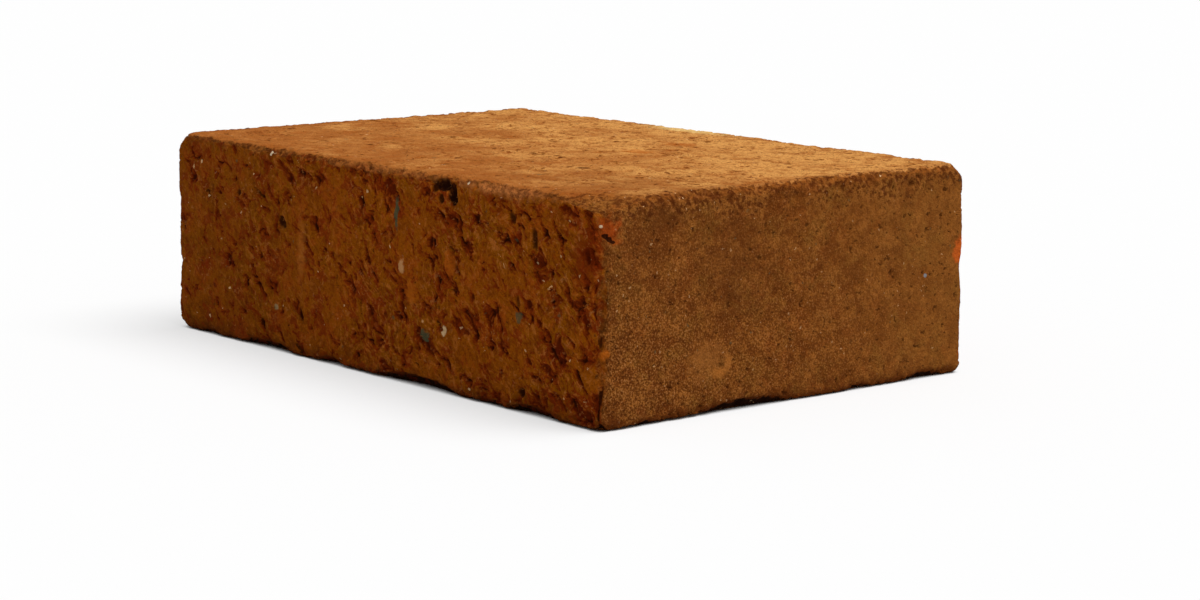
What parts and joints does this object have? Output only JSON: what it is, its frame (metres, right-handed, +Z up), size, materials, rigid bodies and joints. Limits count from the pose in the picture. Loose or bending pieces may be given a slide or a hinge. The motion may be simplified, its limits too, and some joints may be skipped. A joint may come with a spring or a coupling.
{
  "type": "tuff block",
  "caption": "Rectangular masonry block sawn from brown volcanic tuff, with worn arrises, chipped corners and gas pockets in its faces; it is laid flat in courses of wall",
  "frame": {"origin": "middle of the lower bed, the large face that the block lies on, at the sawn size", "axes": "+X along the length, +Y across the width towards the back, +Z up from the lower bed to the upper bed"},
  "size_m": [0.37, 0.25, 0.11],
  "materials": {
    "tuff": "matt, sawn and porous"
  },
  "bodies": {
    "root": {"tuff_block": "tuff"}
  },
  "joints": []
}
